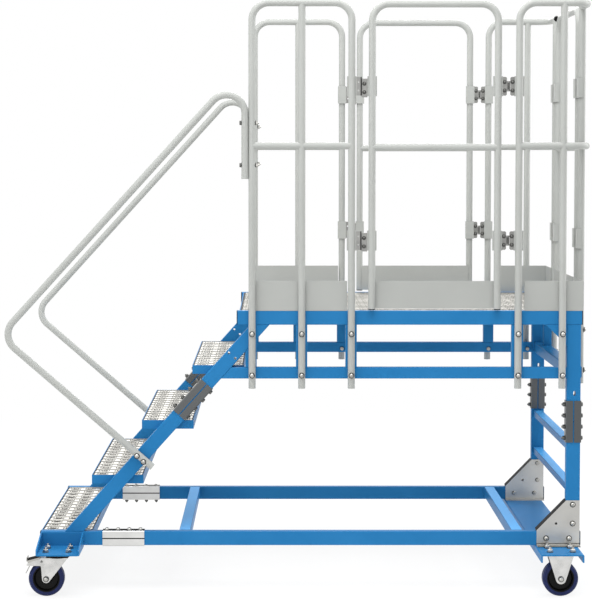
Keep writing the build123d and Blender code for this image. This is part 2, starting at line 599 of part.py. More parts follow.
def turned(x, profile):
    """Solid of revolution about a near side axle; profile is (offset across the wheel, radius) pairs."""
    face = make_face(Polyline(*[(x, -CASTOR_Y + w, WHEEL_R + r) for w, r in profile], close=True))
    return revolve(face, Axis((x, 0, WHEEL_R), (0, 1, 0)), 360)


def wheel(x):
    """Tyre with bevelled shoulders, and hub with a rim, a sunk web and a boss."""
    half, rim = WHEEL_W / 2, WHEEL_R - TYRE_T
    boss, bore = FORK_GAP / 2 - 0.5, AXLE_D / 2 + RUN_CLEAR
    outside = [(half, rim), (half, WHEEL_R - SHOULDER), (half - SHOULDER, WHEEL_R)]
    inside = [(boss, bore), (boss, BOSS_R - 4), (half - 2, BOSS_R), (WEB_T / 2, BOSS_R + 3),
              (WEB_T / 2, rim - 9), (half - 1, rim - RIM_T), (half - 1, rim)]
    tyre = turned(x, outside + [(-w, r) for w, r in reversed(outside)])
    hub = turned(x, inside + [(-w, r) for w, r in reversed(inside)])
    return tyre, hub


def fork_plate(axle_x, eye_r, x0, x1, top):
    """Outline of a fork's side plate: its upper edge drawn in to the round eye at the axle."""
    eye = Pos(axle_x, WHEEL_R) * Circle(eye_r)
    return make_hull([*eye.edges(), Line((x0, top), (x1, top))])


def fork_sides(outline):
    """Both side plates of a near side fork."""
    plate = extrude(Plane.XZ * outline, FORK_T)
    return [Pos(0, -CASTOR_Y + y, 0) * plate for y in (-FORK_GAP / 2, FORK_GAP / 2 + FORK_T)]


def axle(x):
    reach = FORK_GAP / 2 + FORK_T + 5
    return rod_y(x, WHEEL_R, -CASTOR_Y - reach, -CASTOR_Y + reach, AXLE_D / 2)


def head_plate(x):
    plate = block(x - HEAD_L / 2, x + HEAD_L / 2, -CASTOR_Y - HEAD_W / 2, -CASTOR_Y + HEAD_W / 2,
                  CASTOR_H - PLATE, CASTOR_H)
    return fillet(plate.edges().filter_by(Axis.Z), HEAD_R)


def rear_fork():
    half = REAR_FORK_W / 2
    outline = fork_plate(REAR_AXLE_X, REAR_EYE, REAR_AXLE_X - half, REAR_AXLE_X + half, CASTOR_H - PLATE)
    fork = head_plate(REAR_AXLE_X) + axle(REAR_AXLE_X)
    for side in fork_sides(outline):
        fork += side
    return fork


def front_head():
    """Top plate, upper race and king pin of a swivel castor."""
    z_head = CASTOR_H - PLATE
    head = head_plate(FRONT_PIVOT_X)
    head += rod_z(FRONT_PIVOT_X, -CASTOR_Y, CROWN_Z + RACE_H + 0.5, z_head, RACE_D / 2 + 6)
    head += rod_z(FRONT_PIVOT_X, -CASTOR_Y, CROWN_Z - 0.2, z_head, AXLE_D / 2)
    head += rod_z(FRONT_PIVOT_X, -CASTOR_Y, CROWN_Z - 3.7, CROWN_Z - 0.2, PIN_HEAD_D / 2)
    return head


def front_fork():
    """Swivelling fork: crown, lower race, axle, and side plates with a wing that carries the brake."""
    half = FORK_GAP / 2 + FORK_T
    x0, x1, top = FRONT_PIVOT_X - CROWN_BACK, FRONT_PIVOT_X + CROWN_FRONT, CROWN_Z + PLATE
    fork = block(x0, x1, -CASTOR_Y - half, -CASTOR_Y + half, CROWN_Z, top)
    fork += rod_z(FRONT_PIVOT_X, -CASTOR_Y, CROWN_Z, CROWN_Z + RACE_H, RACE_D / 2)
    fork -= rod_z(FRONT_PIVOT_X, -CASTOR_Y, CROWN_Z - 5, CROWN_Z + 20, AXLE_D / 2 + RUN_CLEAR)
    outline = fork_plate(FRONT_AXLE_X, FRONT_EYE, x0, x1, top)
    tip, root = FRONT_AXLE_X - WING_END, FRONT_AXLE_X - FRONT_EYE / 2
    outline += make_face(Polyline((root, WING_Z0), (tip, WING_Z0), (tip, WING_Z1), (x0, CROWN_Z),
                                  (root, CROWN_Z), close=True))
    inner = outline.vertices().sort_by(lambda v: math.hypot(v.X - x0, v.Y - WING_Z0))[0]
    outline = fillet(inner, LEAF_R)
    for side in fork_sides(outline):
        fork += side
    return fork + axle(FRONT_AXLE_X)


def brake_pedal():
    """Folded foot plate between the wings, with a turned-up end and the brake lever below it."""
    half, sheet = FORK_GAP / 2, PEDAL_T
    x0, x1 = FRONT_AXLE_X - WING_END + 1, FRONT_PIVOT_X - CROWN_BACK - 2
    low, high = WING_Z1 + 10, CROWN_Z + 5
    sides = [(x1, CROWN_Z - 6), (x1 - 18, WING_Z1 + 1), (x0 + 8, WING_Z0 + 3), (x0, low - sheet), (x0, low),
             (x1, high)]
    pedal = in_xz(sides, -CASTOR_Y - half, -CASTOR_Y + half)
    below = [(x, z - sheet) for x, z in ((x0 - 5, low - 1.3), (x1 + 5, high + 1.3))]
    room = in_xz([*below, (x1 + 5, WING_Z0 - 10), (x0 - 5, WING_Z0 - 10)], -CASTOR_Y - half + sheet,
                 -CASTOR_Y + half - sheet)
    pedal -= room
    pedal += block(x0 - sheet, x0, -CASTOR_Y - half, -CASTOR_Y + half, low - sheet, CROWN_Z + PLATE)
    lever = [(x0 + 10, WING_Z0 + 5), (x0 + 13, WING_Z0 + 5), (x0 - 3, LEVER_Z), (x0 - 5.5, LEVER_Z + 1)]
    return pedal + in_xz(lever, -CASTOR_Y - half, -CASTOR_Y + half)


def castors():
    parts = {}
    forks = rear_fork()
    heads = front_head()
    parts["rear_castor_forks"] = both(forks)
    parts["front_castor_heads"] = both(heads)
    for end, x in (("front", FRONT_AXLE_X), ("rear", REAR_AXLE_X)):
        tyre, hub = wheel(x)
        parts[f"tyre_{end}_near"], parts[f"tyre_{end}_far"] = tyre, far_of(tyre)
        parts[f"hub_{end}_near"], parts[f"hub_{end}_far"] = hub, far_of(hub)
    fork, pedal = front_fork(), brake_pedal()
    parts["fork_front_near"], parts["fork_front_far"] = fork, far_of(fork)
    parts["brake_pedal_near"], parts["brake_pedal_far"] = pedal, far_of(pedal)
    return parts


def main():
    os.makedirs("parts", exist_ok=True)
    nodes = {}
    for group in (base, stairs, platform, guards, castors):
        nodes.update(group())
    for name, solid in nodes.items():
        export_step(solid, f"parts/{name}.step")
    whole = Compound(children=list(nodes.values())).bounding_box()
    print(len(nodes), "nodes", whole.min, whole.max)


main()
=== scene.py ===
import json
import math

import bmesh
import bpy
from mathutils import Matrix, Vector


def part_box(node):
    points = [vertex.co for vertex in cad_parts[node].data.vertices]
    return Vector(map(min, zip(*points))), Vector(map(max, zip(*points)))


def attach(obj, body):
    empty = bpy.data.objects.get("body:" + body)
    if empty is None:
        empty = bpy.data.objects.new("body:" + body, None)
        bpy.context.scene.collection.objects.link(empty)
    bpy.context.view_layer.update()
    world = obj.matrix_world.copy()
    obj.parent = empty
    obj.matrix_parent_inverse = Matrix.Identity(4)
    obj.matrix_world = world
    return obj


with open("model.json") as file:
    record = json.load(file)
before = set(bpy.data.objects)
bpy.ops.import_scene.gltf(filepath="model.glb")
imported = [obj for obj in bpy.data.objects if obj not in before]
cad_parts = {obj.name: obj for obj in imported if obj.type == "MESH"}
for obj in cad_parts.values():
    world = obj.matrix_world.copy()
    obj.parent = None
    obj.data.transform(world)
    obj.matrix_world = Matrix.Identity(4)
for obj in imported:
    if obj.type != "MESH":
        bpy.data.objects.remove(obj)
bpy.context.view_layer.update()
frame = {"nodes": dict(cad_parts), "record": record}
nodes = frame["nodes"]
print("frame loaded,", len(nodes), "pieces")


# Colours, shader nodes and finishes

def linearColour(hexCode):
    # sRGB hex code to linear red, green and blue, with full alpha
    levels = [int(hexCode[i:i + 2], 16) / 255 for i in (1, 3, 5)]
    linear = [level / 12.92 if level <= 0.04045 else ((level + 0.055) / 1.055) ** 2.4 for level in levels]
    return linear + [1.0]


def addNode(tree, kind, inputs=None, **settings):
    # an input is a plain value, or the socket of another node that it is linked to
    node = tree.nodes.new(kind)
    for name, value in settings.items():
        setattr(node, name, value)
    for socket, value in (inputs or {}).items():
        if isinstance(value, bpy.types.NodeSocket):
            tree.links.new(value, node.inputs[socket])
        else:
            node.inputs[socket].default_value = value
    return node


noiseSpan = {"From Min": 0.3, "From Max": 0.7}  # nearly all of a noise texture lies in it


def makeFinish(finish):
    # colour mottled between two tones, roughness with it, and a fine relief; sizes are in metres
    material = bpy.data.materials.new(finish["name"])
    material.use_nodes = True
    tree = material.node_tree
    tree.nodes.clear()
    places = addNode(tree, "ShaderNodeTexCoord").outputs["Object"]
    mottle = addNode(tree, "ShaderNodeTexNoise", {
        "Vector": places, "Scale": 1 / finish["mottleSize"], "Detail": 3.0, "Roughness": 0.55}).outputs["Fac"]
    tone = mottle
    if finish.get("spangleSize"):
        # zinc crystals, each in its own tone
        tone = addNode(tree, "ShaderNodeTexVoronoi", {
            "Vector": places, "Scale": 1 / finish["spangleSize"]}).outputs["Color"]
    ramp = addNode(tree, "ShaderNodeMapRange", {"Value": tone, **noiseSpan}).outputs["Result"]
    colour = addNode(tree, "ShaderNodeMix", {
        "Factor": ramp, "A": linearColour(finish["dark"]), "B": linearColour(finish["light"])},
        data_type="RGBA").outputs["Result"]
    if finish.get("sideToneOfPaintedLight"):
        # painted light and shade: faces that look up have the two tones, and the others are painted in a tone
        # of their own, as if less lit from above
        normal = addNode(tree, "ShaderNodeNewGeometry").outputs["True Normal"]
        upright = addNode(tree, "ShaderNodeSeparateXYZ", {"Vector": normal}).outputs["Z"]
        level = addNode(tree, "ShaderNodeMapRange", {
            "Value": upright, "From Min": finish["upward"][0], "From Max": finish["upward"][1]})
        colour = addNode(tree, "ShaderNodeMix", {
            "Factor": level.outputs["Result"], "A": linearColour(finish["sideToneOfPaintedLight"]), "B": colour},
            data_type="RGBA").outputs["Result"]
    rough = addNode(tree, "ShaderNodeMapRange", {
        "Value": mottle, **noiseSpan, "To Min": finish["roughness"][0], "To Max": finish["roughness"][1]})
    grain = addNode(tree, "ShaderNodeTexNoise", {
        "Vector": places, "Scale": 1 / finish["grainSize"], "Detail": 2.0})
    bump = addNode(tree, "ShaderNodeBump", {
        "Height": grain.outputs["Fac"], "Strength": 1.0, "Distance": finish["grainDepth"]})
    shader = addNode(tree, "ShaderNodeBsdfPrincipled", {
        "Base Color": colour, "Metallic": finish["metallic"], "Roughness": rough.outputs["Result"],
        "Normal": bump.outputs["Normal"], "Specular IOR Level": finish.get("specular", 0.5)})
    addNode(tree, "ShaderNodeOutputMaterial", {"Surface": shader.outputs["BSDF"]})
    return material


# Powder coat on steel: satin and even; its orange peel is drawn at 8 mm so that it shows at all
paint = {"metallic": 0.0, "roughness": (0.30, 0.36), "grainSize": 0.008, "grainDepth": 0.00004}
bluePaint = makeFinish({
    **paint, "name": "powder_coat_blue", "dark": "#256FA5", "light": "#2A74AA", "mottleSize": 0.22,
    "specular": 0.04})
# The cross tubes and rungs have a painted highlight on top: their faces that look up are painted a lighter
# blue, as if lit from above
blueTops = makeFinish({
    **paint, "name": "powder_coat_blue_painted_top_light", "dark": "#4C9FDE", "light": "#52A6E4", "mottleSize": 0.22,
    "sideToneOfPaintedLight": "#286FA6", "upward": (0.84, 0.97), "specular": 0.04})
# Light grey on the guard tubes: a little less smooth than the blue
greyPaint = makeFinish({
    **paint, "name": "powder_coat_light_grey", "dark": "#A2A4A1", "light": "#A8AAA7", "mottleSize": 0.25,
    "roughness": (0.32, 0.38), "specular": 0.15})
# The same grey on the toe boards' flat sheet looks a little flatter
boardPaint = makeFinish({
    **paint, "name": "powder_coat_grey_sheet", "dark": "#9C9E9B", "light": "#A2A4A1", "mottleSize": 0.3,
    "roughness": (0.45, 0.52)})

# Zinc plated steel: satin metal, slightly warm, cloudy over some centimetres
zinc = {"metallic": 1.0, "grainSize": 0.004, "grainDepth": 0.00004}
zincPlate = makeFinish({
    **zinc, "name": "zinc_plated_steel", "dark": "#9C9B97", "light": "#BDBCB7", "mottleSize": 0.035,
    "roughness": (0.26, 0.38)})
# Rolled zinc sheet of the stringer and leg splices: dull dark sides, and flanges on top with painted light,
# painted lighter as if lit from above
zincSheet = makeFinish({
    **zinc, "name": "galvanised_splice_sheet", "dark": "#A9A8A4", "light": "#B7B6B2", "mottleSize": 0.06,
    "sideToneOfPaintedLight": "#5C5E5F", "upward": (0.45, 0.60), "roughness": (0.28, 0.40)})
# The base splices are plated brighter, and the rear gussets lie between the two
zincBright = makeFinish({
    **zinc, "name": "bright_zinc_sheet", "dark": "#C6C6C4", "light": "#D4D4D2", "mottleSize": 0.08,
    "roughness": (0.30, 0.42)})
zincGusset = makeFinish({
    **zinc, "name": "zinc_plated_gusset_sheet", "dark": "#B4B3AF", "light": "#C6C5C1", "mottleSize": 0.12,
    "roughness": (0.34, 0.44)})
# Leaves of the hinges and latches: duller zinc than the bolts of the frame
zincLeaf = makeFinish({
    **zinc, "name": "zinc_plated_hinge_leaf", "dark": "#868684", "light": "#969693", "mottleSize": 0.03,
    "roughness": (0.32, 0.42)})
# Pressed fork sheet of the castors: bright zinc plate
forkZinc = makeFinish({
    **zinc, "name": "bright_zinc_pressed_steel", "dark": "#C3C3C1", "light": "#DAD9D7", "mottleSize": 0.03,
    "roughness": (0.22, 0.34)})
# Dark dull zinc, for the small bolts of the hinges and latches and for part of those of the frame
zincDull = makeFinish({
    **zinc, "name": "dull_zinc_fasteners", "dark": "#5C5C5A", "light": "#72726F", "mottleSize": 0.02,
    "roughness": (0.35, 0.5), "grainSize": 0.003})
# Hot-dip galvanised plank: bright grey on top with a patchy spangle of about a centimetre; its sloped,
# upright and lower faces are painted darker as shade
galvanisedPlank = makeFinish({
    "name": "hot_dip_galvanised_steel", "dark": "#CCC9C3", "light": "#E4E1DA", "mottleSize": 0.03,
    "spangleSize": 0.011, "sideToneOfPaintedLight": "#6E6E6A", "upward": (0.84, 0.97), "metallic": 0.7,
    "roughness": (0.45, 0.6), "grainSize": 0.004, "grainDepth": 0.00008})

# Small dark things: their clouds and grain are fine, and drawn just coarse enough to show
smallThing = {"mottleSize": 0.02, "grainSize": 0.003, "grainDepth": 0.00004}
# Washers and hinge springs: black oxide on steel, satin
blackOxide = makeFinish({
    **smallThing, "name": "black_oxide_steel", "dark": "#343433", "light": "#444442", "metallic": 0.6,
    "roughness": (0.4, 0.5)})
# Punched edges of the planks: bare and dull, and painted dark as the shade they stand in
punchedEdge = makeFinish({
    **smallThing, "name": "punched_edge_painted_shade", "dark": "#333331", "light": "#454542", "metallic": 0.3,
    "roughness": (0.6, 0.7), "specular": 0.15})
# Elastic navy polyurethane tread: matt, with a soft sheen at the edge
tyreBlue = makeFinish({
    **smallThing, "name": "polyurethane_navy", "dark": "#151E46", "light": "#1B2654", "metallic": 0.0,
    "roughness": (0.42, 0.52), "specular": 0.2})
# Moulded nylon rim: black, half matt
hubNylon = makeFinish({
    **smallThing, "name": "moulded_black_nylon", "dark": "#060606", "light": "#0A0A0A", "metallic": 0.0,
    "roughness": (0.42, 0.50), "specular": 0.15})
# Black polyethylene plugs and rubber stops: matt. The same black is painted shade on the edge strips and the
# bearing rings
blackPlasticAndShade = makeFinish({
    **smallThing, "name": "black_polyethylene_and_painted_shade", "dark": "#0A0A0B", "light": "#101011", "metallic": 0.0,
    "roughness": (0.5, 0.6), "specular": 0.1})

# Every node takes its slot's finish, apart from those with one of their own
slotFinish = {
    "blue_paint": bluePaint, "grey_paint": greyPaint, "zinc_plated_steel": zincPlate,
    "galvanised_steel": galvanisedPlank, "tyre_rubber": tyreBlue, "black_nylon": hubNylon,
    "black_rubber": blackPlasticAndShade}
ownFinish = {
    "base_cross_tubes": blueTops, "ladder_rungs": blueTops,
    "toe_boards_front": boardPaint, "toe_boards_corner": boardPaint,
    "gate_near_board": boardPaint, "gate_far_board": boardPaint, "gate_rear_board": boardPaint,
    "stringer_splices": zincSheet, "leg_splices": zincSheet, "base_splices": zincBright,
    "base_gussets": zincGusset, "fork_front_near": forkZinc, "fork_front_far": forkZinc,
    "rear_castor_forks": forkZinc, "guard_fittings": zincLeaf, "gate_near_fittings": zincLeaf,
    "gate_far_fittings": zincLeaf, "gate_rear_fittings": zincLeaf}
for part in frame["record"]["subparts"]:
    piece = nodes[part["node"]]
    piece.data.materials.clear()
    piece.data.materials.append(ownFinish.get(part["node"], slotFinish[part["material_slot"]]))
print("finishes made")


# Meshes and pieces

def asMesh(name, shape):
    # a finished bmesh as mesh data
    mesh = bpy.data.meshes.new(name)
    shape.to_mesh(mesh)
    shape.free()
    return mesh


def newPiece(name, shape, finish, body):
    # the finished bmesh becomes an object that rides on a body
    bmesh.ops.recalc_face_normals(shape, faces=shape.faces)
    mesh = asMesh(name, shape)
    mesh.materials.append(finish)
    mesh.shade_smooth()
    mesh.set_sharp_from_angle(angle=math.radians(35))
    piece = bpy.data.objects.new(name, mesh)
    bpy.context.scene.collection.objects.link(piece)
    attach(piece, body)
    return piece


def aimed(point, direction):
    # placement that turns +Z to a direction at a point
    turn = Vector(direction).to_track_quat("Z", "Y").to_matrix().to_4x4()
    return Matrix.Translation(Vector(point)) @ turn


def turned(profile, sides):
    # a lathe shape round Z from (radius, height) pairs
    shape = bmesh.new()
    ring = [shape.verts.new((radius, 0, height)) for radius, height in profile]
    edges = [shape.edges.new(pair) for pair in zip(ring, ring[1:])]
    bmesh.ops.spin(shape, geom=ring + edges, cent=(0, 0, 0), axis=(0, 0, 1), angle=math.tau,
                   steps=sides, use_merge=True)
    bmesh.ops.remove_doubles(shape, verts=shape.verts, dist=1e-6)
    return asMesh("turned", shape)


def stamp(target, mesh, places):
    # copies of a mesh, one at each placement, into one bmesh
    for place in places:
        known = len(target.verts)
        target.from_mesh(mesh)
        target.verts.ensure_lookup_table()
        bmesh.ops.transform(target, matrix=place, verts=target.verts[known:])


def addBox(shape, low, high):
    # a box between its lowest and its highest corner
    size = [end - start for start, end in zip(low, high)]
    middle = [(start + end) / 2 for start, end in zip(low, high)]
    bmesh.ops.create_cube(shape, size=1.0, matrix=Matrix.Translation(middle) @ Matrix.Diagonal((*size, 1.0)))


def addSideBox(shape, side, xs, ys, zs):
    # a box given for the far side, which a side of -1 mirrors to the near one
    lowY, highY = sorted((side * ys[0], side * ys[1]))
    addBox(shape, (xs[0], lowY, zs[0]), (xs[1], highY, zs[1]))


def addSlantedBox(shape, start, end, middleY, size):
    # a box over the line between two (x, z) points; size gives its width, thickness and lift off that line
    way = Vector((end[0] - start[0], 0, end[1] - start[1]))
    up = Vector((-way.z, 0, way.x)).normalized()
    middle = Vector((start[0], middleY, start[1])) + way / 2 + up * (size["lift"] + size["thick"] / 2)
    turn = Matrix((way.normalized(), (0, 1, 0), up)).transposed().to_4x4()
    scale = Matrix.Diagonal((way.length, size["wide"], size["thick"], 1.0))
    bmesh.ops.create_cube(shape, size=1.0, matrix=Matrix.Translation(middle) @ turn @ scale)


def addRod(shape, start, end, radius):
    # a round plug between two points
    start, end = Vector(start), Vector(end)
    bmesh.ops.create_cone(shape, cap_ends=True, segments=16, radius1=radius, radius2=radius,
                          depth=(end - start).length, matrix=aimed((start + end) / 2, end - start))


# Bolts and nuts: a head or a nut in a bright or a dull finish, on a dark washer. The dome's outline is given
# in shares of its width and height, and a nut's end is as far as the bolt stands out of it
boltForm = {"washerThick": 0.0016, "chamferShare": 0.07, "shankShare": 8 / 13, "endTaper": 0.85,
            "dome": ((0, 0), (0.5, 0), (0.49, 0.3), (0.42, 0.65), (0.26, 0.9), (0, 1))}
kinds = {
    "nut": {"form": "hexagon", "across": 0.013, "height": 0.0068, "end": 0.004, "washer": 0.0165,
            "tone": "bright"},
    "cup": {"form": "dome", "across": 0.016, "height": 0.0068, "washer": 0.0205, "tone": "bright"},
    "dullNut": {"form": "hexagon", "across": 0.013, "height": 0.0068, "end": 0.004, "washer": 0.0165,
                "tone": "dull"},
    "dullHead": {"form": "hexagon", "across": 0.013, "height": 0.0053, "washer": 0.0165, "tone": "dull"},
    "smallCup": {"form": "dome", "across": 0.0105, "height": 0.004, "washer": 0.014, "tone": "dull"},
    "rivet": {"form": "dome", "across": 0.005, "height": 0.0022, "washer": 0.0072, "tone": "bright"},
    "castorNut": {"form": "hexagon", "across": 0.017, "height": 0.0085, "end": 0.007, "washer": 0.023,
                  "tone": "bright"},
    "axle": {"form": "dome", "across": 0.0165, "height": 0.0065, "washer": 0.0205, "tone": "bright"},
}


def hexMesh(across, height, end):
    # chamfered hexagon on its washer and, on a nut, the bolt end that stands out
    shape = bmesh.new()
    radius = across / math.sqrt(3)
    middle = boltForm["washerThick"] + height / 2
    bmesh.ops.create_cone(shape, cap_ends=True, segments=6, radius1=radius, radius2=radius, depth=height,
                          matrix=Matrix.Translation((0, 0, middle)))
    top = [edge for edge in shape.edges if all(vert.co.z > middle for vert in edge.verts)]
    bmesh.ops.bevel(shape, geom=top, offset=across * boltForm["chamferShare"], affect="EDGES", segments=1,
                    profile=0.5, material=-1)
    if end:
        shank = across * boltForm["shankShare"] / 2
        bmesh.ops.create_cone(shape, cap_ends=True, segments=14, radius1=shank,
                              radius2=shank * boltForm["endTaper"], depth=end,
                              matrix=Matrix.Translation((0, 0, middle + height / 2 + end / 2)))
    return asMesh("hexagon", shape)


def domeMesh(across, height):
    # cup head: a low dome that stands on its washer
    low = boltForm["washerThick"]
    return turned([(across * out, low + height * up) for out, up in boltForm["dome"]], sides=18)


def washerMesh(across):
    radius, thick = across / 2, boltForm["washerThick"]
    return turned([(0, 0), (radius, 0), (radius, thick), (0, thick)], sides=20)


for kind in kinds.values():
    kind["washerMesh"] = washerMesh(kind["washer"])
    if kind["form"] == "dome":
        kind["headMesh"] = domeMesh(kind["across"], kind["height"])
    else:
        kind["headMesh"] = hexMesh(kind["across"], kind["height"], kind.get("end"))

bodies = ("frame", "gate_near", "gate_far", "gate_rear", "castor_front_near", "castor_front_far")
tones = {"bright": zincPlate, "dull": zincDull, "dark": blackOxide}
fasteners = {body: {tone: bmesh.new() for tone in tones} for body in bodies}


def fasten(name, points, direction, body="frame", sides=(-1, 1)):
    # the same fastener at every point; y is given for the far side and mirrored for the near one
    kind = kinds[name]
    for side in sides:
        way = (direction[0], direction[1] * side, direction[2])
        places = [aimed((x, y * side, z), way) for x, y, z in points]
        stamp(fasteners[body][kind["tone"]], kind["headMesh"], places)
        stamp(fasteners[body]["dark"], kind["washerMesh"], places)


def boltThrough(points, outer, inner):
    # a bolt across a side rail at each (x, z): cup head outside, nut inside
    fasten("cup", [(x, outer, z) for x, z in points], (0, 1, 0))
    fasten("nut", [(x, inner, z) for x, z in points], (0, -1, 0))


# Driving places: the side frames' rails and plates, the guards, the gates and the castors
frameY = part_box("base_rails")[1][1]
railW = 0.030
railIn = frameY - railW
railMid = frameY - railW / 2
plate = 0.003
guardY, rearAxis = 0.441, 1.0275
castorY, pivotFront, pivotRear = 0.504, -0.846, 0.925
sideGates = ((-1, "gate_near"), (1, "gate_far"))
frontCastors = ((-1, "castor_front_near"), (1, "castor_front_far"))

# Guard legs on the side rails and on the rear cross member
guardBolts = {"legs": (-0.162, 0.014, 0.190, 0.781, 0.938), "heights": (0.919, 0.772), "tube": 0.0245,
              "rearY": 0.294, "rearHeights": (0.920, 0.773)}
guardFace = frameY + guardBolts["tube"]
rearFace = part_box("platform_cross_members")[1][0] + guardBolts["tube"]
boltThrough([(x, z) for x in guardBolts["legs"] for z in guardBolts["heights"]], guardFace, railIn)
fasten("cup", [(rearFace, guardBolts["rearY"], z) for z in guardBolts["rearHeights"]], (1, 0, 0))

# Castor bolts through bracket and channel, nuts on top
castorBolts = {"pitchX": 0.080, "pitchY": 0.060, "plateTop": 0.160}
spots = [(x + i * castorBolts["pitchX"] / 2, castorY + j * castorBolts["pitchY"] / 2, castorBolts["plateTop"])
         for x in (pivotFront, pivotRear) for i in (-1, 1) for j in (-1, 1)]
fasten("castorNut", spots, (0, 0, 1))

# Splices: four bolts each at one pitch, first those of the base, then those of the legs. Under the base only
# the far side has nuts
splice = {"count": 4, "pitch": 0.040, "baseX": -0.622, "legZ": 0.604, "baseTop": 0.213, "baseLow": 0.157,
          "legFront": 0.954, "legRear": 1.010}
steps = [(i - (splice["count"] - 1) / 2) * splice["pitch"] for i in range(splice["count"])]
fasten("cup", [(splice["baseX"] + step, railMid, splice["baseTop"]) for step in steps], (0, 0, 1))
fasten("dullNut", [(splice["baseX"] + step, railMid, splice["baseLow"]) for step in steps], (0, 0, -1),
       sides=(1,))
fasten("dullNut", [(splice["legFront"], railMid, splice["legZ"] + step) for step in steps], (-1, 0, 0))
fasten("dullHead", [(splice["legRear"], railMid, splice["legZ"] + step) for step in steps], (1, 0, 0))

# Stringer splices: the same pitch along the slope, on both edges of the stringer
slope = {"edge": (-0.177, 0.939), "rise": 587 / 527, "breakZ": 0.700, "depth": 0.050}
alongSlope = Vector((1, 0, slope["rise"])).normalized()
offSlope = Vector((-alongSlope.z, 0, alongSlope.x))
breakX = slope["edge"][0] + (slope["breakZ"] - slope["edge"][1]) / slope["rise"]
breakSpots = [Vector((breakX, railMid, slope["breakZ"])) + alongSlope * step for step in steps]
fasten("dullNut", [spot + offSlope * plate for spot in breakSpots], offSlope)
fasten("dullHead", [spot - offSlope * (slope["depth"] + plate) for spot in breakSpots], -offSlope)

# Handrails: through-bolts to the first guard leg, and two bolts on the stringer
handrail = {"heights": (1.666, 1.517), "left": -0.1995, "right": -0.1495,
            "foot": ((-0.571, 0.485), (-0.548, 0.464))}
fasten("dullHead", [(handrail["left"], guardY, z) for z in handrail["heights"]], (-1, 0, 0))
fasten("nut", [(handrail["right"], guardY, z) for z in handrail["heights"]], (1, 0, 0))
boltThrough(handrail["foot"], guardFace, railIn)

# Base gussets: leg, rail and foot bolts
gussetBolts = {"side": ((0.981, 0.307), (0.981, 0.239), (0.887, 0.186), (0.969, 0.186)),
               "foot": (0.887, 0.969), "footOut": 0.018, "footTop": 0.163}
boltThrough(gussetBolts["side"], frameY + plate, railIn - plate)
footY = frameY + gussetBolts["footOut"]
fasten("dullHead", [(x, footY, gussetBolts["footTop"]) for x in gussetBolts["foot"]], (0, 0, 1))

# Hinge leaves and latch plates: small bolts, two to a plate; the rear gate is hinged on the near side
leaf = {"heights": (1.250, 1.795), "step": 0.015, "outer": 0.0065, "inner": 0.0095, "gateX": 0.7295,
        "postX": 0.7575, "latchX": 0.2345, "latchOuter": 0.0095, "latchDrop": 0.006, "rearGateY": -0.244,
        "rearPostY": -0.272, "rearLatchY": 0.2495}
pairs = [z + step for z in leaf["heights"] for step in (-leaf["step"], leaf["step"])]
latchPairs = [z - leaf["latchDrop"] for z in pairs]
sideLeaves = ((leaf["gateX"], leaf["outer"], 1, pairs), (leaf["gateX"], leaf["inner"], -1, pairs),
              (leaf["latchX"], leaf["latchOuter"], 1, latchPairs))
rearLeaves = ((leaf["rearGateY"], leaf["outer"], "gate_rear", pairs),
              (leaf["rearLatchY"], leaf["latchOuter"], "gate_rear", latchPairs),
              (leaf["rearPostY"], leaf["outer"], "frame", pairs))
for side, body in sideGates:
    for x, inset, way, heights in sideLeaves:
        fasten("smallCup", [(x, guardY - inset, z) for z in heights], (0, way, 0), body, (side,))
for inset, way in ((leaf["outer"], 1), (leaf["inner"], -1)):
    fasten("smallCup", [(leaf["postX"], guardY - inset, z) for z in pairs], (0, way, 0))
for y, inset, body, heights in rearLeaves:
    fasten("smallCup", [(rearAxis - inset, y, z) for z in heights], (1, 0, 0), body, (1,))

# Axle bolts of the castors, and the rivet of each front fork
axle = {"frontX": -0.886, "z": 0.0625, "plate": 0.027, "rivetX": -0.9015, "rivetZ": 0.1246}
for way in (-1, 1):
    plateY = castorY + way * axle["plate"]
    fasten("axle", [(pivotRear, plateY, axle["z"])], (0, way, 0))
    for side, body in frontCastors:
        fasten("axle", [(axle["frontX"], plateY, axle["z"])], (0, way, 0), body, (side,))
        fasten("rivet", [(axle["rivetX"], plateY, axle["rivetZ"])], (0, way, 0), body, (side,))

for body, groups in fasteners.items():
    for tone, shape in groups.items():
        if shape.verts:
            newPiece(tone + "_bolts_" + body, shape, tones[tone], body)
print("bolts placed")


# Each opening of the planks has a collar below it, painted dark as shade, and low teeth beside it
plank = {"pitch": 0.057, "ridge": 0.003, "halfX": 0.023, "halfY": 0.014, "collar": 0.008, "collarInner": 0.94,
         "toothHalf": 0.0028, "toothRise": 0.0022, "toothOut": 0.0042, "toothShares": (0.3, 0.7)}
treads = {"tops": (0.210, 0.4075, 0.605, 0.8025), "fronts": (-0.917, -0.737, -0.557, -0.376), "depth": 0.185,
          "sheet": 0.0025, "gap": 0.004}
deck = {"planks": 5, "gap": 0.002}
deckLow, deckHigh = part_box("platform_deck")


def collarMesh():
    # square ring with straight walls, standing down from z = 0, with its corners one metre from the middle
    inner, low = plank["collarInner"], -plank["collar"]
    return turned([(1, 0), (1, low), (inner, low), (inner, 0), (1, 0)], sides=4)


def teethMesh():
    # two pyramids beside each edge of the diamond
    shape = bmesh.new()
    edge = Vector((-plank["halfX"], plank["halfY"], 0))
    outward = Vector((plank["halfY"], plank["halfX"], 0)).normalized() * plank["toothOut"]
    corner = plank["toothHalf"] * math.sqrt(2)
    turn = Matrix.Rotation(math.radians(45), 4, "Z")
    for share in plank["toothShares"]:
        spot = Vector((plank["halfX"], 0, plank["toothRise"] / 2)) + edge * share + outward
        for signX in (-1, 1):
            for signY in (-1, 1):
                place = Matrix.Translation((spot.x * signX, spot.y * signY, spot.z))
                bmesh.ops.create_cone(shape, segments=4, radius1=corner, radius2=0.0,
                                      depth=plank["toothRise"], matrix=place @ turn)
    return asMesh("teeth", shape)


